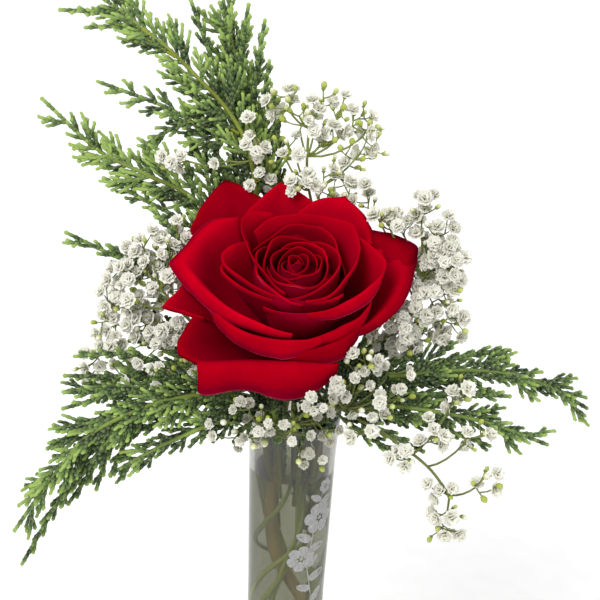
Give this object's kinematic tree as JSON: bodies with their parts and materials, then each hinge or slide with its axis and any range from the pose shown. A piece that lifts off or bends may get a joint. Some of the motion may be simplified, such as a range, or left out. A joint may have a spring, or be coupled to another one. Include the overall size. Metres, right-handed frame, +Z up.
{
  "type": "rose in a bud vase",
  "caption": "Red rose with flat cedar sprays and clouds of small white florets, standing in water in a slim clear glass bud vase.",
  "frame": {"origin": "middle of the vase's flat base, on the surface it stands on", "axes": "+Z up along the vase, -Y the front, where the bloom leans, +X to the right as seen from the front"},
  "size_m": [0.2657, 0.1363, 0.4197],
  "materials": {
    "clear_glass": "clear, polished, with a frosted etched sprig",
    "water": "clear, slightly cloudy",
    "rose_petals": "velvety, soft sheen",
    "rose_stem": "smooth, semi-matt",
    "cedar_green": "matt, waxy scale leaves",
    "small_florets": "matt cream white on green twigs"
  },
  "bodies": {
    "root": {"vase": "clear_glass", "rose_stem": "rose_stem", "rose_bloom": "rose_petals", "cedar_back_left_tall": "cedar_green", "cedar_back_left_low": "cedar_green", "cedar_back_fan": "cedar_green", "cedar_left": "cedar_green", "cedar_front_left_long": "cedar_green", "cedar_front_left_low": "cedar_green", "cedar_right_high": "cedar_green", "cedar_right_low": "cedar_green", "breath_back_right": "small_florets", "breath_back_left": "small_florets", "breath_right": "small_florets", "breath_left": "small_florets", "breath_front": "small_florets", "breath_front_right": "small_florets", "breath_low_right": "small_florets", "water": "water"}
  },
  "joints": []
}
